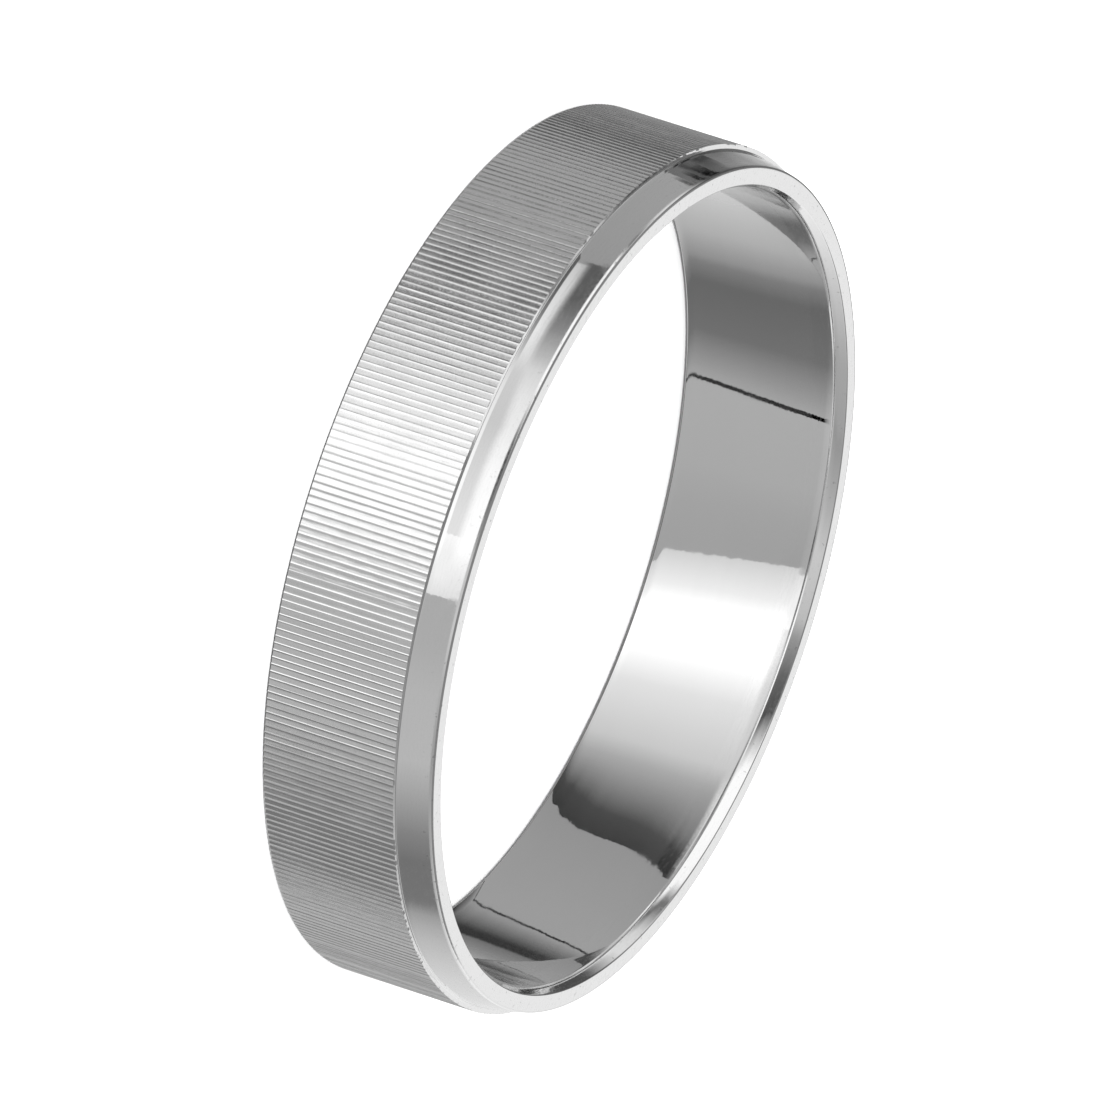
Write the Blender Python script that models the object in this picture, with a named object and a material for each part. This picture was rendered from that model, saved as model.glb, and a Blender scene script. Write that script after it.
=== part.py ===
"""Wedding band: one turned ring of white metal, lying flat with its axis on Z.

The outer wall is a wide land cut with fine transverse ribs. At its upper end a small step drops to a
polished bevel, which runs in to a narrow flat rim. The bore is slightly crowned: it opens to a short
cone at the rim and to a rounded edge at the lower face. The origin is the centre of the bore, half-way
up the band's width. Lengths are in metres.
"""

import math

import bmesh
import bpy

MM = 0.001

# Driving dimensions.
BORE_RADIUS = 8.97 * MM
BORE_CROWN = 0.06 * MM
LAND_RADIUS = 9.8 * MM
BAND_WIDTH = 3.98 * MM
LAND_WIDTH = 3.18 * MM
STEP_DEPTH = 0.115 * MM
RIM_FLAT_RADIUS = 9.43 * MM
RIM_ROUND_WIDTH = 0.10 * MM
RIM_ROUND_DROP = 0.045 * MM
UPPER_WALL_MARGIN = 0.35 * MM
UPPER_TURN = 0.55 * MM
UPPER_CONE_TILT = 20
LOWER_WALL_MARGIN = 0.26 * MM
LOWER_TURN = 1.4 * MM
LOWER_TURN_TILT = 12
BEVEL_CROWN = 0.008 * MM
RIB_COUNT = 388
RIB_DEPTH = 0.012 * MM
RIB_GROOVE_SHARE = 0.3

# Smoothness: flat facets round the ring, and strips across each curved stretch of the profile.
RIBS_PER_FACET = 2
FACET_COUNT = RIB_COUNT // RIBS_PER_FACET
CURVE_STRIPS = 2
SMOOTH_ANGLE = math.radians(25)

TOP = BAND_WIDTH / 2
BOTTOM = -BAND_WIDTH / 2
STEP_HEIGHT = BOTTOM + LAND_WIDTH

METAL_COLOUR = (0.78, 0.78, 0.785, 1.0)
METAL_ROUGHNESS = 0.12


def clear_scene():
    for obj in list(bpy.data.objects):
        bpy.data.objects.remove(obj)


def ellipse_arc(centre, radial, axial, start, end):
    """Points (radius, height) along an elliptical arc, both ends included. Angles are in degrees."""
    points = []
    for i in range(CURVE_STRIPS + 1):
        angle = math.radians(start + (end - start) * i / CURVE_STRIPS)
        points.append((centre[0] + radial * math.cos(angle), centre[1] + axial * math.sin(angle)))
    return points


def bevel_points(end):
    """The polished bevel, from the foot of the step to the rim's rounded edge, slightly crowned."""
    start = (LAND_RADIUS - STEP_DEPTH, STEP_HEIGHT)
    points = []
    for i in range(CURVE_STRIPS):
        share = i / CURVE_STRIPS
        crown = BEVEL_CROWN * 4 * share * (1 - share)
        radius = start[0] + (end[0] - start[0]) * share + crown
        points.append((radius, start[1] + (end[1] - start[1]) * share))
    return points


def wall_point(height):
    """The bore's wall is narrowest half-way up."""
    return BORE_RADIUS + BORE_CROWN * (height / TOP) ** 2, height


def wall_slope(height):
    """The wall's tilt from upright, in degrees: positive where it opens upwards."""
    return math.degrees(math.atan(2 * BORE_CROWN * height / TOP**2))


def turn_from(point, radius, start, end):
    """An arc that leaves a point. Its outward normal turns from start to end, in degrees."""
    angle = math.radians(start)
    centre = (point[0] - radius * math.cos(angle), point[1] - radius * math.sin(angle))
    return ellipse_arc(centre, radius, radius, start, end)


def upper_bore():
    """From the rim's inner edge, down a cone and a turn, to the top of the wall."""
    wall_top = wall_point(TOP - UPPER_WALL_MARGIN)
    turn = turn_from(wall_top, UPPER_TURN, 180 - wall_slope(wall_top[1]), 180 - UPPER_CONE_TILT)
    rise = TOP - turn[-1][1]
    rim_edge = (turn[-1][0] + rise * math.tan(math.radians(UPPER_CONE_TILT)), TOP)
    return [rim_edge] + turn[::-1]


def lower_bore():
    """From the bottom of the wall, round a turn, to the lower face."""
    wall_end = wall_point(BOTTOM + LOWER_WALL_MARGIN)
    turn = turn_from(wall_end, LOWER_TURN, 180 - wall_slope(wall_end[1]), 180 + LOWER_TURN_TILT)
    drop = turn[-1][1] - BOTTOM
    return turn + [(turn[-1][0] + drop, BOTTOM)]


def smooth_profile():
    """(radius, height) from the foot of the step, over the rim and down the bore, to the lower face."""
    rim_centre = (RIM_FLAT_RADIUS, TOP - RIM_ROUND_DROP)
    rim_round = ellipse_arc(rim_centre, RIM_ROUND_WIDTH, RIM_ROUND_DROP, 0, 90)
    return bevel_points(rim_round[0]) + rim_round + upper_bore() + [wall_point(0)] + lower_bore()


def add_ring(mesh, points):
    """Vertices at (radius, angle, height) points."""
    return [mesh.verts.new((r * math.cos(a), r * math.sin(a), z)) for r, a, z in points]


def smooth_ring(mesh, radius, height):
    step = 2 * math.pi / FACET_COUNT
    return add_ring(mesh, [(radius, i * step, height) for i in range(FACET_COUNT)])


def ribbed_ring(mesh, height):
    """Crest and groove by turns round the land, with each groove nearer to the crest before it."""
    pitch = 2 * math.pi / RIB_COUNT
    points = []
    for i in range(RIB_COUNT):
        points.append((LAND_RADIUS, i * pitch, height))
        points.append((LAND_RADIUS - RIB_DEPTH, (i + RIB_GROOVE_SHARE) * pitch, height))
    return add_ring(mesh, points)


def join_rings(mesh, upper, lower):
    """A strip of quads between two rings of equal length."""
    count = len(upper)
    for i in range(count):
        j = (i + 1) % count
        mesh.faces.new((upper[i], lower[i], lower[j], upper[j]))


def join_ribs_to_ring(mesh, ribs, ring):
    """A flat annulus between the ribbed ring and a smooth one, one face for each facet of the smooth ring."""
    share = len(ribs) // len(ring)
    for i in range(len(ring)):
        outer = [ribs[(i * share + k) % len(ribs)] for k in range(share + 1)]
        mesh.faces.new(outer + [ring[(i + 1) % len(ring)], ring[i]])


def band_mesh():
    mesh = bmesh.new()
    land_top = ribbed_ring(mesh, STEP_HEIGHT)
    land_bottom = ribbed_ring(mesh, BOTTOM)
    join_rings(mesh, land_top, land_bottom)
    rings = [smooth_ring(mesh, radius, height) for radius, height in smooth_profile()]
    for outer, inner in zip(rings, rings[1:]):
        join_rings(mesh, inner, outer)
    join_ribs_to_ring(mesh, land_top, rings[0])
    join_ribs_to_ring(mesh, land_bottom, rings[-1])
    bmesh.ops.recalc_face_normals(mesh, faces=mesh.faces)
    data = bpy.data.meshes.new("band")
    mesh.to_mesh(data)
    mesh.free()
    return data


def white_metal():
    material = bpy.data.materials.new("white_metal")
    material.use_nodes = True
    shader = material.node_tree.nodes["Principled BSDF"]
    shader.inputs["Base Color"].default_value = METAL_COLOUR
    shader.inputs["Metallic"].default_value = 1.0
    shader.inputs["Roughness"].default_value = METAL_ROUGHNESS
    return material


def build_band():
    data = band_mesh()
    data.materials.append(white_metal())
    data.shade_smooth()
    data.set_sharp_from_angle(angle=SMOOTH_ANGLE)
    band = bpy.data.objects.new("band", data)
    bpy.context.scene.collection.objects.link(band)
    return band


clear_scene()
build_band()
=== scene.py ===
"""The wedding band's looks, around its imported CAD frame.

The band lies flat, axis on Z, bevelled rim up. Its surface is one turned mesh with real ribs, softened
edges and small marks of wear, in polished and in finely grained white metal. The world is a plain
studio: panels of light and shade that stand round the band. Directions in it are an azimuth, in degrees
round the band from the camera's side, positive towards +X, and an elevation above the horizon.
"""

import math

import bpy
import numpy as np
from mathutils import Matrix, Vector


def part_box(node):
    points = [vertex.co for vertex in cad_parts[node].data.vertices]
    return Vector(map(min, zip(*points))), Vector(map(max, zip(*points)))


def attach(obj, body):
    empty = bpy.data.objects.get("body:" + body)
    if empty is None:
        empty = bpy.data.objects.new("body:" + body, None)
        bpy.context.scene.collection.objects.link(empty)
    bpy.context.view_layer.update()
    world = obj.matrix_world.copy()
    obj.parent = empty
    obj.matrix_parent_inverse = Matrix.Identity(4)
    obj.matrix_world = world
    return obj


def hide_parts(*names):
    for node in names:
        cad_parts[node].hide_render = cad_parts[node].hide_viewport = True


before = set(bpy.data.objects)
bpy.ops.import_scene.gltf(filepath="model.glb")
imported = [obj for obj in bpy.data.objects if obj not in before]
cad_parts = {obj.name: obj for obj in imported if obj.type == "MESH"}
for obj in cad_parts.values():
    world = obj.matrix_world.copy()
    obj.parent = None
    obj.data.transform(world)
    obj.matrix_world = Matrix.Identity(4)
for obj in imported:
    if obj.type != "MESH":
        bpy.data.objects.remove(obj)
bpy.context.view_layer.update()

MM = 0.001

# The band's section, from the frame's box inwards.
box_low, box_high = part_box("band")
LAND_RADIUS = box_high.x
TOP = box_high.z
BOTTOM = box_low.z
BORE_RADIUS = LAND_RADIUS - 0.86 * MM
BORE_CROWN = 0.06 * MM
# The upper and lower ends of the bore's wall, and the turn, tilt in degrees and rounded edge beyond each.
UPPER_WALL_END = TOP - 0.30 * MM
UPPER_TURN = 0.35 * MM
UPPER_CONE_TILT = 32
UPPER_EDGE_ROUND = 0.045 * MM
LOWER_WALL_END = BOTTOM + 0.26 * MM
LOWER_TURN = 1.4 * MM
LOWER_TURN_TILT = 12
LOWER_EDGE_ROUND = 0.12 * MM
RIM_FLAT_RADIUS = LAND_RADIUS - 0.37 * MM
RIM_ROUND_WIDTH = 0.10 * MM
RIM_ROUND_DROP = 0.035 * MM
RIM_ROUND_START = 7
STEP_HEIGHT = BOTTOM + 3.18 * MM
STEP_DEPTH = 0.115 * MM
STEP_SLOPE = 0.006 * MM
STEP_FILLET = 0.012 * MM
LOWER_EDGE_BREAK = 0.025 * MM
BEVEL_CROWN = 0.008 * MM
BEVEL_TILT = 14

# How many strips of faces each kind of stretch has.
LAND_STRIPS = 18
WALL_STRIPS = 20
BEVEL_STRIPS = 8
FLAT_STRIPS = 3
BROKEN_EDGE_STRIPS = 2
RIM_ROUND_STRIPS = 14
UPPER_TURN_STRIPS = 12
LOWER_TURN_STRIPS = 8
SMALL_ROUND_STRIPS = 8
CONE_STRIPS = 4
FILLET_STRIPS = 4
# An edge where the surface turns by more degrees than this is shaded sharp.
SHARP_ANGLE = 20

# The ribs. The profile of one, from crest to crest, is (share of its width, share of its depth).
RIB_COUNT = 388
RIB_DEPTH = 0.0115 * MM
RIB_PROFILE = (
    (0, 0), (0.08, 0.4), (0.16, 0.76), (0.26, 1),
    (0.5, 0.9), (0.72, 0.78), (0.88, 0.7), (0.94, 0.35),
)
RIB_WIDTH_DRIFT = 0.03
RIB_DRIFT_CYCLES = 3
RIB_WIDTH_SPREAD = 0.06
RIB_DEPTH_RANGE = (0.75, 1.15)
BURR_HEIGHT = 0.004 * MM
# How deeply the ribs are worked: (azimuth, share of the full depth).
RIB_WORKING = (
    (-180, 1.0), (-120, 0.9), (-88, 0.45), (-66, 0.6), (-50, 1.0), (-28, 0.78), (-18, 0.62),
    (-6, 0.62), (6, 0.85), (22, 1.15), (75, 1.15), (110, 1.0), (180, 1.0),
)

SEGMENTS = RIB_COUNT * len(RIB_PROFILE)
SEED = 7

# The camera: a long lens, rolled so that the band's axis points right. The centre of the band's lower
# face lies a little left of the middle of the view and a little above it.
LENS = 654.5
SENSOR_WIDTH = 36
NEAREST_SEEN = 0.01
FARTHEST_SEEN = 10
CAMERA_DISTANCE = 45.0 * LAND_RADIUS
CAMERA_ELEVATION = math.radians(23.18)
CAMERA_ROLL = math.radians(107.79)
LOWER_CENTRE_RIGHT = -0.1632 * LAND_RADIUS
LOWER_CENTRE_UP = 0.0462 * LAND_RADIUS

# How much light the metal gives back, and the studio's panels. A panel is (start, end, tone at its
# start, tone at its end), azimuths in degrees. A tone is what the metal shows when it mirrors the panel,
# from 0 for black to 1 for white. Light falls off evenly across the gap between two panels.
REFLECTANCE = 0.86
RIBBED_REFLECTANCE = 0.94
LOW_PANELS = (
    (-180, -154, 0.66, 0.64),
    (-148, -138.5, 0.55, 0.43),
    (-137, -133, 0.08, 0.13),
    (-128, -126, 0.40, 0.46),
    (-122, -120.1, 0.56, 0.60),
    (-120.1, -119.0, 0.0, 0.0),
    (-119.0, -74.6, 0.615, 0.575),
    (-74.6, -66, 0.18, 0.26),
    (-60, -48, 0.45, 0.66),
    (-42, -24, 0.785, 0.89),
    (-12, 0, 1.05, 1.07),
    (6, 16, 0.94, 0.82),
    (16, 30, 0.615, 0.635),
    (40, 63.3, 0.66, 0.67),
    (63.3, 64.7, 0.0, 0.0),
    (64.7, 69, 0.64, 0.59),
    (81, 100, 0.43, 0.39),
    (108, 111, 0.48, 0.56),
    (123, 150, 0.68, 0.78),
    (165, 180, 0.82, 0.80),
)
# The level and the raised ring share their panels on the +X side.
RIGHT_SIDE = (
    (17, 30, 0.66, 0.67),
    (42, 60, 0.70, 0.71),
    (69, 81, 0.64, 0.51),
    (90, 102, 0.44, 0.45),
    (104, 105, 0.46, 0.48),
    (109, 114, 0.61, 0.67),
    (120, 131, 0.72, 0.775),
    (142, 180, 0.815, 0.88),
)
LEVEL_PANELS = (
    (-180, -174, 0.95, 0.93),
    (-170, -167, 0.88, 0.78),
    (-163, -159, 0.64, 0.60),
    (-155, -151, 0.51, 0.45),
    (-148, -141.5, 0.42, 0.44),
    (-141.5, -136, 0.26, 0.25),
    (-133, -131, 0.36, 0.34),
    (-129.5, -128.5, 0.28, 0.28),
    (-127, -122.5, 0.42, 0.41),
    (-122.5, -77, 0.61, 0.58),
    (-77, -66, 0.77, 0.85),
    (-54, -48, 0.91, 0.88),
    (-42, -28, 0.80, 0.785),
    (-20, -8, 0.82, 0.86),
    (-4, 1.5, 0.88, 0.885),
    (1.5, 6, 0.985, 0.95),
    (12, 17, 0.94, 0.88),
) + RIGHT_SIDE
RAISED_PANELS = (
    (-180, -174, 0.62, 0.64),
    (-168, -160, 0.72, 0.68),
    (-155, -151, 0.59, 0.60),
    (-147, -142, 0.54, 0.51),
    (-139, -133.5, 0.40, 0.36),
    (-133.5, -129, 0.05, 0.08),
    (-129, -127.2, 0.32, 0.32),
    (-127.2, -125, 0.12, 0.14),
    (-125, -122, 0.40, 0.42),
    (-122, -120.5, 0.30, 0.30),
    (-120.5, -78, 0.615, 0.58),
    (-78, -66, 0.34, 0.36),
    (-60, -56, 0.46, 0.53),
    (-48, -44, 0.72, 0.83),
    (-36, -28, 0.90, 0.925),
    (-16, 4, 0.985, 1.02),
    (10, 17, 0.94, 0.88),
) + RIGHT_SIDE
HIGH_PANELS = (
    (-180, -150, 0.45, 0.40),
    (-138, -126, 0.28, 0.30),
    (-112, -102, 0.86, 0.82),
    (-92, -89, 0.42, 0.46),
    (-82, -42, 0.97, 0.99),
    (-24, -12, 0.30, 0.38),
    (-6, 0, 0.50, 0.58),
    (6, 26, 0.74, 0.78),
    (40, 60, 0.68, 0.58),
    (66, 84, 0.62, 0.64),
    (92, 110, 0.68, 0.78),
    (125, 150, 0.86, 0.94),
    (165, 180, 0.88, 0.70),
)
UPPER_PANELS = (
    (-180, -150, 0.50, 0.46),
    (-130, -108, 0.40, 0.45),
    (-92, -88, 0.58, 0.60),
    (-80, -38, 0.99, 0.99),
    (-30, 30, 0.50, 0.52),
    (50, 80, 0.55, 0.60),
    (100, 115, 0.74, 0.74),
    (140, 150, 0.86, 0.80),
    (165, 180, 0.60, 0.50),
)
# The heights, in degrees, at which one ring of panels gives way to the next: (azimuth, height), all
# between -HIGHEST_CHANGE and HIGHEST_CHANGE. The change is spread over blur degrees either side. The high
# ring begins at the same heights left and right, so its azimuths are all taken as negative. The upper
# ring comes in between two heights, whatever the azimuth.
LEVEL_FROM = (
    (-180, -22.6), (-140, -19.5), (-100, -18), (-55, -16.6),
    (35, -16.6), (100, -18), (140, -19.5), (180, -22.6),
)
LEVEL_BLUR = 0.8
RAISED_FROM = (
    (-180, -21.5), (-170, -21.2), (-151, -17.4), (-133, -13.8), (-118, -11),
    (-88, -7.3), (-70, -4.9), (-50, -3.3), (-28, -0.4),
)
RAISED_BLUR = 1.3
HIGH_FROM = ((-180, -19), (-147, -12.3), (-130, -7.6), (-113, -3.3), (-84, 2.7), (-41, 9), (0, 10.8))
HIGH_BLUR = 1.2
HIGHEST_CHANGE = 30
UPPER_FROM = (46, 54)
# The shade below, which fades out between two heights, and two round fields of light. Each of those
# fades in towards its centre, between two distances given as the cosine of the angle.
UNDERNEATH_TONE = 0.35
UNDERNEATH_FADE = (-60, -48)
ROOF_TONE = 0.50
ROOF_AZIMUTH = 180
ROOF_ELEVATION = 70
ROOF_FADE = (0.745, 0.775)
BACK_TONE = 0.90
BACK_AZIMUTH = 180
BACK_ELEVATION = 22
BACK_FADE = (0.972, 0.986)
# How far upright edges lean, in degrees of azimuth for each degree of height, by azimuth.
LOW_LEANS = ((-137, -0.1), (-120, -0.57), (-100, 0.0), (-75, 0.15), (16, 0.5), (64, -0.4), (110, 0.0))
LEVEL_LEANS = ((-110, 0.0), (-77, -0.2), (-40, 0.0), (110, 0.0))
LOW_PIVOT = -23
LEVEL_PIVOT = -7
LEAN_REACH = 14
# Where the low panels have rounded corners, by azimuth, and how many degrees a corner turns through.
LOW_CORNERS = ((-126, 0.0), (-120, 0.45), (-100, 0.0), (-86, 1.0), (-64, 1.0), (-50, 0.0))
CORNER_TURN = 5.5
CORNER_REACH = 4.5

# The polished metal's marks. Noise is (cycles per metre along x, y and z) and detail. Tilts are radians.
# A range is the part of the noise over which an effect comes in.
POLISH_LINES = ((250, 250, 14000), 3)
POLISH_LINES_TILT = 0.006
LONG_LINES = ((90, 90, 5000), 2)
LONG_LINES_TILT = 0.02
WAVES = ((600, 600, 400), 1)
WAVES_TILT_ACROSS = 0.006
WAVES_TILT_ALONG = 0.008
PITS = ((26000, 26000, 26000), 1)
PITS_TILT = 0.006
FILM = ((420, 420, 900), 3)
FILM_RANGE = (0.4, 0.8)
FILM_ROUGHNESS = (0.02, 0.06)
FILM_SHADE = 0.03
HAZE_GRAIN = ((4500, 4500, 20000), 3)
HAZE_RANGE = (0.42, 0.72)
HAZE_ROUGHNESS = 0.3
HAZE_IOR = 1.8
WEAR_SPECKS = ((9000, 9000, 9000), 2)
WEAR_RANGE = (0.3, 0.7)
WEAR_ROUGHNESS = 0.12
WEAR_MARK_RANGE = (0.66, 0.74)
WEAR_SHADE = -0.3
WEAR_REACH = 0.4 * MM
STEP_HAZE_REACH = 0.1 * MM

# The ribbed metal's marks, and the painted shade that darkens the ribs where they are seen edge-on.
SATIN_GRAIN = ((22000, 22000, 2500), 3)
SATIN_GRAIN_TILT = 0.16
SATIN_FINE = ((30000, 30000, 30000), 2)
SATIN_FINE_TILT_ACROSS = 0.10
SATIN_FINE_TILT_ALONG = 0.14
SATIN_FINE_SHADE = 0.16
SATIN_PATCHES = ((1500, 1500, 900), 2)
SATIN_PATCHES_TILT = 0.03
SATIN_RANGE = (0.3, 0.7)
SATIN_ROUGHNESS = (0.20, 0.27)
# Painted shade: the ribs' colour darkens where they are seen edge-on, in place of the ribs shading each
# other.
EDGE_ON_RANGE = (0.5, 0.8)
EDGE_ON_PAINTED_SHADE = 0.62

# The floor and the lamp over it.
FLOOR_HALF_SIDE = 0.6
FLOOR_GAP = 0.01 * MM
FLOOR_COLOUR = (0.9, 0.9, 0.9, 1)
FLOOR_ROUGHNESS = 0.9
OVERHEAD_STRENGTH = 5
OVERHEAD_SPREAD = math.radians(60)


def arc(centre, radial, axial, start, end, strips):
    """(radius, height) along an elliptical arc, from start to end in degrees."""
    angles = np.radians(np.linspace(start, end, strips + 1))
    return np.stack([centre[0] + radial * np.cos(angles), centre[1] + axial * np.sin(angles)], axis=1)


def line(start, end, strips, crown=0.0):
    """(radius, height) from start to end, bowed outwards by crown at the middle."""
    share = np.linspace(0, 1, strips + 1)[:, None]
    points = np.array(start) + (np.array(end) - np.array(start)) * share
    points[:, 0] += crown * 4 * (share * (1 - share))[:, 0]
    return points


def arc_from(point, radius, start, end, strips):
    """(radius, height) along an arc that leaves a point. Its outward normal turns from start to end."""
    angle = math.radians(start)
    centre = (point[0] - radius * math.cos(angle), point[1] - radius * math.sin(angle))
    return arc(centre, radius, radius, start, end, strips)


def wall_point(height):
    """The bore's wall is narrowest half-way up and a little crowned."""
    share = (height - (TOP + BOTTOM) / 2) / ((TOP - BOTTOM) / 2)
    return BORE_RADIUS + BORE_CROWN * share**2, height


def wall_slope(height):
    """The wall's tilt from upright, in degrees: positive where it opens upwards."""
    half = (TOP - BOTTOM) / 2
    return math.degrees(math.atan(2 * BORE_CROWN * (height - (TOP + BOTTOM) / 2) / half**2))


def upper_bore():
    """(radius, height) from the top of the bore's wall up a small turn, a cone and a rounded edge."""
    slope = wall_slope(UPPER_WALL_END)
    turn = arc_from(wall_point(UPPER_WALL_END), UPPER_TURN, 180 - slope, 180 - UPPER_CONE_TILT,
                    UPPER_TURN_STRIPS)
    tilt = math.radians(UPPER_CONE_TILT)
    rise = TOP - UPPER_EDGE_ROUND * (1 - math.sin(tilt)) - turn[-1][1]
    cone = line(turn[-1], (turn[-1][0] + rise * math.tan(tilt), turn[-1][1] + rise), CONE_STRIPS)
    edge = arc_from(cone[-1], UPPER_EDGE_ROUND, 180 - UPPER_CONE_TILT, 90, SMALL_ROUND_STRIPS)
    return np.concatenate([turn[:-1], cone[:-1], edge])


def lower_bore():
    """(radius, height) from the bottom of the bore's wall, round a wide turn and a tighter one."""
    slope = wall_slope(LOWER_WALL_END)
    turn = arc_from(wall_point(LOWER_WALL_END), LOWER_TURN, 180 - slope, 180 + LOWER_TURN_TILT,
                    LOWER_TURN_STRIPS)
    edge = arc_from(turn[-1], LOWER_EDGE_ROUND, 180 + LOWER_TURN_TILT, 270, SMALL_ROUND_STRIPS)
    edge[:, 1] += BOTTOM - edge[-1][1]
    return np.concatenate([turn[:-1], edge])


def section():
    """The closed outline: (radius, height) rows, how far each is ribbed, and each strip's material."""
    foot = (LAND_RADIUS - STEP_DEPTH + STEP_FILLET, STEP_HEIGHT + STEP_SLOPE)
    fillet = arc_from(foot, -STEP_FILLET, 90, BEVEL_TILT, FILLET_STRIPS)
    rim_centre = (RIM_FLAT_RADIUS, TOP - RIM_ROUND_DROP)
    rim_round = arc(rim_centre, RIM_ROUND_WIDTH, RIM_ROUND_DROP, RIM_ROUND_START, 90, RIM_ROUND_STRIPS)
    upper, lower = upper_bore()[::-1], lower_bore()
    wall_heights = np.linspace(UPPER_WALL_END, LOWER_WALL_END, WALL_STRIPS + 1)
    wall = np.array([wall_point(height) for height in wall_heights])
    low_corner = (LAND_RADIUS - LOWER_EDGE_BREAK, BOTTOM)
    low_land = (LAND_RADIUS, BOTTOM + LOWER_EDGE_BREAK)
    # A part is its points, how far it is ribbed, and its material: 0 for ribbed metal, 1 for polished.
    # None stands for ribs that fade, from fully ribbed at the part's larger radius to plain.
    parts = [
        (line(low_land, (LAND_RADIUS, STEP_HEIGHT), LAND_STRIPS), 1.0, 0),
        (line((LAND_RADIUS, STEP_HEIGHT), foot, FLAT_STRIPS), None, 1),
        (fillet, 0.0, 1),
        (line(fillet[-1], rim_round[0], BEVEL_STRIPS, BEVEL_CROWN), 0.0, 1),
        (rim_round, 0.0, 1),
        (line((RIM_FLAT_RADIUS, TOP), upper[0], FLAT_STRIPS), 0.0, 1),
        (upper, 0.0, 1),
        (wall, 0.0, 1),
        (lower, 0.0, 1),
        (line(lower[-1], low_corner, FLAT_STRIPS), 0.0, 1),
        (line(low_corner, low_land, BROKEN_EDGE_STRIPS), None, 1),
    ]
    rows, ribbed, materials = [], [], []
    for points, rib, material in parts:
        count = len(points) - 1
        for i in range(count):
            rows.append(points[i])
            if rib is None:
                first = 1.0 if points[0][0] > points[-1][0] else 0.0
                share = i / count
                ribbed.append(first * (1 - share) + (1 - first) * share)
            else:
                ribbed.append(rib)
            materials.append(material)
    return np.array(rows), np.array(ribbed), np.array(materials)


def rib_layout(random):
    """The azimuth of each segment round the band, and its depth below the crests.

    A rib falls from its crest to a groove, rises gently, and turns up sharply to the next crest.
    """
    slow = RIB_WIDTH_DRIFT * np.sin(np.arange(RIB_COUNT) * 2 * math.pi * RIB_DRIFT_CYCLES / RIB_COUNT)
    widths = 1 + slow + random.uniform(-RIB_WIDTH_SPREAD, RIB_WIDTH_SPREAD, RIB_COUNT)
    edges = np.concatenate([[0], np.cumsum(widths)]) * 2 * math.pi / widths.sum()
    share, depth = np.array(RIB_PROFILE).T
    angles = edges[:-1, None] + share[None, :] * np.diff(edges)[:, None]
    azimuths = (np.degrees(edges[:-1]) + 90 + 180) % 360 - 180
    working = np.interp(azimuths, *np.array(RIB_WORKING).T)
    scale = (random.uniform(*RIB_DEPTH_RANGE, RIB_COUNT) * working)[:, None] * RIB_DEPTH
    return angles.ravel(), (scale * depth[None, :]).ravel()


def band_mesh():
    random = np.random.default_rng(SEED)
    rows, ribbed, materials = section()
    angles, depths = rib_layout(random)
    radius = rows[:, 0][:, None] - ribbed[:, None] * depths[None, :]
    height = np.repeat(rows[:, 1][:, None], SEGMENTS, axis=1)
    step_row = int(np.argmax(materials))
    burrs = np.abs(random.normal(0, BURR_HEIGHT, RIB_COUNT))
    height[step_row] -= np.repeat(burrs, len(RIB_PROFILE))
    points = np.stack([radius * np.cos(angles), radius * np.sin(angles), height], axis=-1)
    count = len(rows)
    row = np.arange(count)[:, None] * SEGMENTS
    next_row = ((np.arange(count) + 1) % count)[:, None] * SEGMENTS
    here = np.arange(SEGMENTS)[None, :]
    ahead = (np.arange(SEGMENTS) + 1)[None, :] % SEGMENTS
    corners = [row + here, row + ahead, next_row + ahead, next_row + here]
    quads = np.stack(corners, axis=-1).reshape(-1, 4)
    data = bpy.data.meshes.new("band_surface")
    data.vertices.add(points.size // 3)
    data.vertices.foreach_set("co", points.astype(np.float32).ravel())
    data.loops.add(quads.size)
    data.loops.foreach_set("vertex_index", quads.astype(np.int32).ravel())
    data.polygons.add(len(quads))
    data.polygons.foreach_set("loop_start", np.arange(len(quads), dtype=np.int32) * 4)
    data.polygons.foreach_set("material_index", np.repeat(materials, SEGMENTS).astype(np.int32))
    data.update(calc_edges=True)
    data.validate()
    data.shade_smooth()
    data.set_sharp_from_angle(angle=math.radians(SHARP_ANGLE))
    return data


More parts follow.
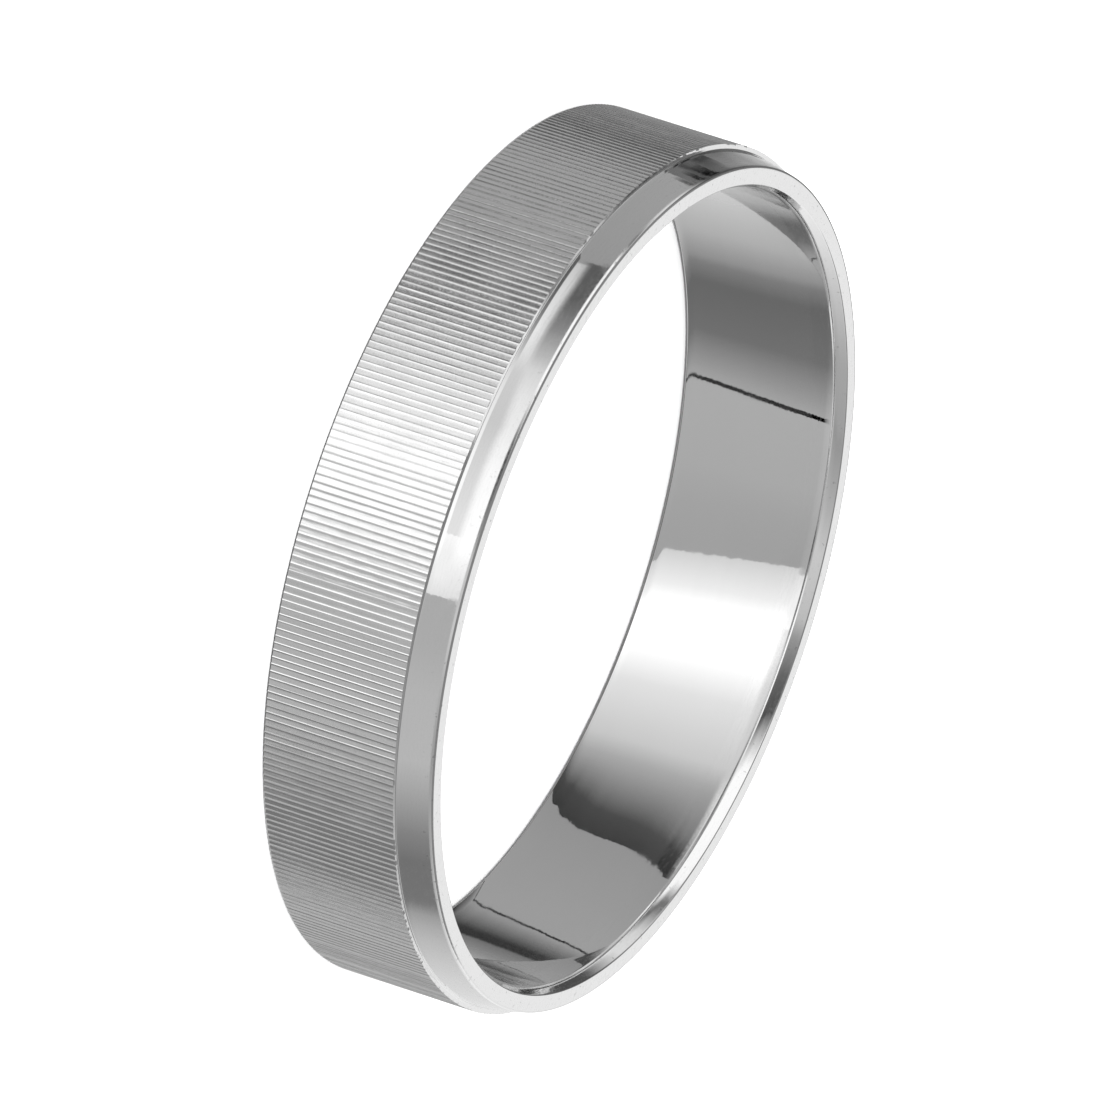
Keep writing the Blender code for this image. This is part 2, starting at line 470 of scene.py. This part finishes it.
class Wiring:
    """Adds nodes to one tree and links them as they are made. An input is a socket or a plain value."""

    def __init__(self, tree):
        self.nodes = tree.nodes
        self.links = tree.links

    def feed(self, node, index, value):
        if isinstance(value, bpy.types.NodeSocket):
            self.links.new(value, node.inputs[index])
        else:
            node.inputs[index].default_value = value

    def math(self, operation, *values):
        node = self.nodes.new("ShaderNodeMath")
        node.operation = operation
        for index, value in enumerate(values):
            self.feed(node, index, value)
        return node.outputs[0]

    def rescale(self, value, low, high, out_low=0.0, out_high=1.0, soft=True):
        """value's place between low and high, as a number between out_low and out_high."""
        node = self.nodes.new("ShaderNodeMapRange")
        node.interpolation_type = "SMOOTHSTEP" if soft else "LINEAR"
        for index, item in enumerate((value, low, high, out_low, out_high)):
            self.feed(node, index, item)
        return node.outputs[0]

    def vector(self, operation, *values):
        """A vector operation. SCALE takes a vector and a number."""
        node = self.nodes.new("ShaderNodeVectorMath")
        node.operation = operation
        self.feed(node, 0, values[0])
        if operation == "SCALE":
            self.feed(node, 3, values[1])
        elif len(values) > 1:
            self.feed(node, 1, values[1])
        return node.outputs[0]

    def noise(self, cycles, detail):
        """Noise from 0 to 1, with this many cycles per metre along x, y and z."""
        place = self.nodes.new("ShaderNodeTexCoord").outputs["Object"]
        node = self.nodes.new("ShaderNodeTexNoise")
        node.inputs["Scale"].default_value = 1
        node.inputs["Detail"].default_value = detail
        self.links.new(self.vector("MULTIPLY", place, cycles), node.inputs["Vector"])
        return node.outputs[0]

    def spread(self, noise, size):
        """Noise moved to lie either side of zero, size wide."""
        return self.math("MULTIPLY", self.math("SUBTRACT", noise, 0.5), size)

    def mix(self, share, first, second):
        node = self.nodes.new("ShaderNodeMix")
        node.data_type = "FLOAT"
        self.feed(node, 0, share)
        self.feed(node, 2, first)
        self.feed(node, 3, second)
        return node.outputs[0]

    def along(self, direction, azimuth, elevation):
        """How far a direction points along an azimuth and elevation, in degrees: 1 is exactly along."""
        around, up = math.radians(azimuth), math.radians(elevation)
        node = self.nodes.new("ShaderNodeVectorMath")
        node.operation = "DOT_PRODUCT"
        node.inputs[1].default_value = (
            math.cos(up) * math.sin(around), -math.cos(up) * math.cos(around), math.sin(up)
        )
        self.links.new(direction, node.inputs[0])
        return node.outputs["Value"]

    def ramp(self, value, stops):
        """A number that follows stops of (position, level) as value goes from 0 to 1."""
        node = self.nodes.new("ShaderNodeValToRGB")
        elements = node.color_ramp.elements
        elements.remove(elements[1])
        elements[0].position = stops[0][0]
        elements[0].color = (stops[0][1],) * 3 + (1,)
        for position, level in stops[1:]:
            elements.new(position).color = (level,) * 3 + (1,)
        self.feed(node, 0, value)
        return node.outputs[0]


def new_metal(name):
    """A metal material, its wiring, and the shader that the wiring feeds."""
    material = bpy.data.materials.new(name)
    material.use_nodes = True
    shader = material.node_tree.nodes["Principled BSDF"]
    shader.inputs["Metallic"].default_value = 1
    return material, Wiring(material.node_tree), shader


def worked_normal(wiring, across, along):
    """The surface's normal, tilted round the band by across and along its axis by along, in radians."""
    normal = wiring.nodes.new("ShaderNodeNewGeometry").outputs["Normal"]
    round_the_band = wiring.vector("CROSS_PRODUCT", (0, 0, 1), normal)
    tilted = wiring.vector("ADD", normal, wiring.vector("SCALE", round_the_band, across))
    tilted = wiring.vector("ADD", tilted, wiring.vector("SCALE", (0, 0, 1), along))
    return wiring.vector("NORMALIZE", tilted)


def grey(wiring, value):
    node = wiring.nodes.new("ShaderNodeCombineColor")
    for index in range(3):
        wiring.feed(node, index, value)
    return node.outputs[0]


def polished_metal():
    """Mirror polish with faint lines round the band, slow waves, a cloudy film, and wear on the rim."""
    material, wiring, shader = new_metal("polished_white_metal")
    lines = wiring.noise(*POLISH_LINES)
    long_lines = wiring.noise(*LONG_LINES)
    waves = wiring.noise(*WAVES)
    pits = wiring.noise(*PITS)
    film = wiring.noise(*FILM)
    grain = wiring.noise(*HAZE_GRAIN)
    specks = wiring.noise(*WEAR_SPECKS)
    height = wiring.nodes.new("ShaderNodeSeparateXYZ")
    wiring.links.new(wiring.nodes.new("ShaderNodeTexCoord").outputs["Object"], height.inputs[0])
    near_rim = wiring.rescale(height.outputs[2], TOP - WEAR_REACH, TOP)
    near_step = wiring.rescale(height.outputs[2], STEP_HEIGHT + STEP_HAZE_REACH, STEP_HEIGHT)

    pitting = wiring.spread(pits, PITS_TILT)
    wave_across = wiring.spread(waves, WAVES_TILT_ACROSS)
    wave_along = wiring.spread(waves, WAVES_TILT_ALONG)
    across = wiring.math("ADD", wiring.spread(lines, POLISH_LINES_TILT), wave_across)
    along = wiring.math("ADD", wiring.spread(long_lines, LONG_LINES_TILT), wave_along)
    across = wiring.math("ADD", across, pitting)
    along = wiring.math("ADD", along, pitting)
    wiring.links.new(worked_normal(wiring, across, along), shader.inputs["Normal"])
    roughness = wiring.rescale(film, *FILM_RANGE, *FILM_ROUGHNESS)
    worn = wiring.rescale(specks, *WEAR_RANGE, 0.0, WEAR_ROUGHNESS)
    roughness = wiring.math("MULTIPLY_ADD", near_rim, worn, roughness)
    wiring.links.new(roughness, shader.inputs["Roughness"])
    haze = wiring.rescale(grain, *HAZE_RANGE)
    wiring.links.new(wiring.math("MAXIMUM", haze, near_step), shader.inputs["Coat Weight"])
    shader.inputs["Coat Roughness"].default_value = HAZE_ROUGHNESS
    shader.inputs["Coat IOR"].default_value = HAZE_IOR
    value = wiring.math("ADD", wiring.spread(film, FILM_SHADE), REFLECTANCE)
    marks = wiring.math("MULTIPLY", wiring.rescale(specks, *WEAR_MARK_RANGE), near_rim)
    value = wiring.math("MULTIPLY", value, wiring.math("MULTIPLY_ADD", marks, WEAR_SHADE, 1.0))
    wiring.links.new(grey(wiring, value), shader.inputs["Base Color"])
    return material


def ribbed_metal():
    """Cut ribs: a satin grain that runs along each rib, with duller and brighter spots, and painted shade
    where the ribs are seen edge-on.
    """
    material, wiring, shader = new_metal("ribbed_white_metal")
    grain = wiring.noise(*SATIN_GRAIN)
    fine = wiring.noise(*SATIN_FINE)
    patches = wiring.noise(*SATIN_PATCHES)
    fine_across = wiring.spread(fine, SATIN_FINE_TILT_ACROSS)
    fine_along = wiring.spread(fine, SATIN_FINE_TILT_ALONG)
    across = wiring.math("ADD", wiring.spread(grain, SATIN_GRAIN_TILT), fine_across)
    along = wiring.math("ADD", fine_along, wiring.spread(patches, SATIN_PATCHES_TILT))
    wiring.links.new(worked_normal(wiring, across, along), shader.inputs["Normal"])
    roughness = wiring.rescale(patches, *SATIN_RANGE, *SATIN_ROUGHNESS)
    wiring.links.new(roughness, shader.inputs["Roughness"])
    glance = wiring.nodes.new("ShaderNodeLayerWeight").outputs["Facing"]
    value = wiring.math("ADD", wiring.spread(fine, SATIN_FINE_SHADE), RIBBED_REFLECTANCE)
    # Painted shade: darken the colour towards edge-on views, in place of the ribs shading each other.
    painted_edge_on_shade = wiring.rescale(glance, *EDGE_ON_RANGE, 1.0, EDGE_ON_PAINTED_SHADE)
    value = wiring.math("MULTIPLY", value, painted_edge_on_shade)
    wiring.links.new(grey(wiring, value), shader.inputs["Base Color"])
    return material


def build_band():
    data = band_mesh()
    data.materials.append(ribbed_metal())
    data.materials.append(polished_metal())
    band = bpy.data.objects.new("wedding_band", data)
    bpy.context.scene.collection.objects.link(band)
    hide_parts("band")
    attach(band, "root")


def build_floor():
    side = FLOOR_HALF_SIDE
    data = bpy.data.meshes.new("floor")
    corners = [(-side, -side, 0), (side, -side, 0), (side, side, 0), (-side, side, 0)]
    data.from_pydata(corners, [], [(0, 1, 2, 3)])
    floor = bpy.data.objects.new("floor", data)
    floor.location.z = BOTTOM - FLOOR_GAP
    floor.visible_glossy = False
    material = bpy.data.materials.new("pale_floor")
    material.use_nodes = True
    shader = material.node_tree.nodes["Principled BSDF"]
    shader.inputs["Base Color"].default_value = FLOOR_COLOUR
    shader.inputs["Roughness"].default_value = FLOOR_ROUGHNESS
    shader.inputs["Specular IOR Level"].default_value = 0
    data.materials.append(material)
    bpy.context.scene.collection.objects.link(floor)


def radiance(tone):
    """The light a panel gives off, for the metal to show this tone on an sRGB display."""
    linear = ((tone + 0.055) / 1.055) ** 2.4
    return linear / REFLECTANCE


def panel_runs(panels):
    """Panels in runs. Two panels that touch make a sharp edge, which starts a new run."""
    runs = [[panels[0]]]
    for panel in panels[1:]:
        if panel[0] == runs[-1][-1][1]:
            runs.append([])
        runs[-1].append(panel)
    return runs


def ring_of_panels(wiring, azimuth, panels):
    """The light from one ring of panels, at an azimuth in degrees."""
    light = None
    for run in panel_runs(panels):
        start, length = run[0][0], run[-1][1] - run[0][0]
        stops = []
        for first, last, first_tone, last_tone in run:
            stops.append(((first - start) / length, radiance(first_tone)))
            stops.append(((last - start) / length, radiance(last_tone)))
        place = wiring.rescale(azimuth, start, start + length, soft=False)
        here = wiring.ramp(place, stops)
        if light is None:
            light = here
        else:
            light = wiring.mix(wiring.math("GREATER_THAN", azimuth, start), light, here)
    return light


def by_azimuth(wiring, azimuth, stops, low, high):
    """A number that follows stops of (azimuth, number). Every number lies between low and high."""
    levels = [(angle / 360 + 0.5, (number - low) / (high - low)) for angle, number in stops]
    share = wiring.ramp(wiring.math("MULTIPLY_ADD", azimuth, 1 / 360, 0.5), levels)
    return wiring.rescale(share, 0, 1, low, high, soft=False)


def leaning(wiring, azimuth, elevation, leans, pivot):
    """The azimuth at which an edge that leans would meet the height of its pivot."""
    lean = by_azimuth(wiring, azimuth, leans, -1, 1)
    low, high = pivot - LEAN_REACH, pivot + LEAN_REACH
    rise = wiring.rescale(elevation, low, high, -LEAN_REACH, LEAN_REACH, soft=False)
    return wiring.math("SUBTRACT", azimuth, wiring.math("MULTIPLY", lean, rise))


def with_corners(wiring, azimuth, edge_azimuth, elevation, corners, pivot):
    """An edge's azimuth, bent more and more towards the upper and the lower end of the edge."""
    rise = wiring.rescale(elevation, pivot - CORNER_REACH, pivot + CORNER_REACH, -1, 1, soft=False)
    bend = wiring.math("MULTIPLY", wiring.math("MULTIPLY", rise, rise), rise)
    size = wiring.math("MULTIPLY", by_azimuth(wiring, azimuth, corners, 0, 1), CORNER_TURN)
    return wiring.math("MULTIPLY_ADD", bend, size, edge_azimuth)


def above(wiring, azimuth, elevation, heights, blur):
    """0 below the heights that follow azimuth and 1 above them."""
    height = by_azimuth(wiring, azimuth, heights, -HIGHEST_CHANGE, HIGHEST_CHANGE)
    return wiring.rescale(wiring.math("SUBTRACT", elevation, height), -blur, blur)


def build_world():
    world = bpy.data.worlds.new("studio")
    world.use_nodes = True
    wiring = Wiring(world.node_tree)
    coordinates = wiring.nodes.new("ShaderNodeTexCoord")
    split = wiring.nodes.new("ShaderNodeSeparateXYZ")
    wiring.links.new(coordinates.outputs["Generated"], split.inputs[0])
    x, y, z = split.outputs
    azimuth = wiring.math("ARCTAN2", x, wiring.math("MULTIPLY", y, -1.0))
    azimuth = wiring.math("MULTIPLY", azimuth, 180 / math.pi)
    elevation = wiring.math("MULTIPLY", wiring.math("ARCSINE", z), 180 / math.pi)
    toward_roof = wiring.along(coordinates.outputs["Generated"], ROOF_AZIMUTH, ROOF_ELEVATION)
    toward_back = wiring.along(coordinates.outputs["Generated"], BACK_AZIMUTH, BACK_ELEVATION)

    low_azimuth = leaning(wiring, azimuth, elevation, LOW_LEANS, LOW_PIVOT)
    low_azimuth = with_corners(wiring, azimuth, low_azimuth, elevation, LOW_CORNERS, LOW_PIVOT)
    level_azimuth = leaning(wiring, azimuth, elevation, LEVEL_LEANS, LEVEL_PIVOT)

    low = ring_of_panels(wiring, low_azimuth, LOW_PANELS)
    level = ring_of_panels(wiring, level_azimuth, LEVEL_PANELS)
    raised = ring_of_panels(wiring, level_azimuth, RAISED_PANELS)
    high = ring_of_panels(wiring, azimuth, HIGH_PANELS)
    upper = ring_of_panels(wiring, azimuth, UPPER_PANELS)
    light = wiring.mix(above(wiring, azimuth, elevation, LEVEL_FROM, LEVEL_BLUR), low, level)
    light = wiring.mix(above(wiring, azimuth, elevation, RAISED_FROM, RAISED_BLUR), light, raised)
    turned = wiring.math("MULTIPLY", wiring.math("ABSOLUTE", azimuth), -1.0)
    light = wiring.mix(above(wiring, turned, elevation, HIGH_FROM, HIGH_BLUR), light, high)
    light = wiring.mix(wiring.rescale(elevation, *UPPER_FROM), light, upper)
    light = wiring.mix(wiring.rescale(elevation, *UNDERNEATH_FADE), radiance(UNDERNEATH_TONE), light)
    light = wiring.mix(wiring.rescale(toward_roof, *ROOF_FADE), light, radiance(ROOF_TONE))
    light = wiring.mix(wiring.rescale(toward_back, *BACK_FADE), light, radiance(BACK_TONE))

    seen = wiring.nodes.new("ShaderNodeLightPath").outputs["Is Camera Ray"]
    light = wiring.mix(seen, light, 1.0)
    wiring.links.new(light, wiring.nodes["Background"].inputs["Color"])
    bpy.context.scene.world = world


def build_lights():
    data = bpy.data.lights.new("overhead", "SUN")
    data.energy = OVERHEAD_STRENGTH
    data.angle = OVERHEAD_SPREAD
    light = bpy.data.objects.new("overhead", data)
    light.visible_glossy = False
    bpy.context.scene.collection.objects.link(light)


def build_camera():
    data = bpy.data.cameras.new("camera")
    data.lens = LENS
    data.sensor_width = SENSOR_WIDTH
    data.clip_start = NEAREST_SEEN
    data.clip_end = FARTHEST_SEEN
    camera = bpy.data.objects.new("camera", data)
    tilt = Matrix.Rotation(math.radians(90) - CAMERA_ELEVATION, 4, "X")
    turn = tilt @ Matrix.Rotation(CAMERA_ROLL, 4, "Z")
    lower_centre = Vector((LOWER_CENTRE_RIGHT, LOWER_CENTRE_UP, -CAMERA_DISTANCE))
    place = Vector((0, 0, BOTTOM)) - turn.to_3x3() @ lower_centre
    camera.matrix_world = Matrix.Translation(place) @ turn
    bpy.context.scene.collection.objects.link(camera)
    bpy.context.scene.camera = camera


build_band()
build_floor()
build_world()
build_lights()
build_camera()
bpy.context.scene.view_settings.view_transform = "Standard"
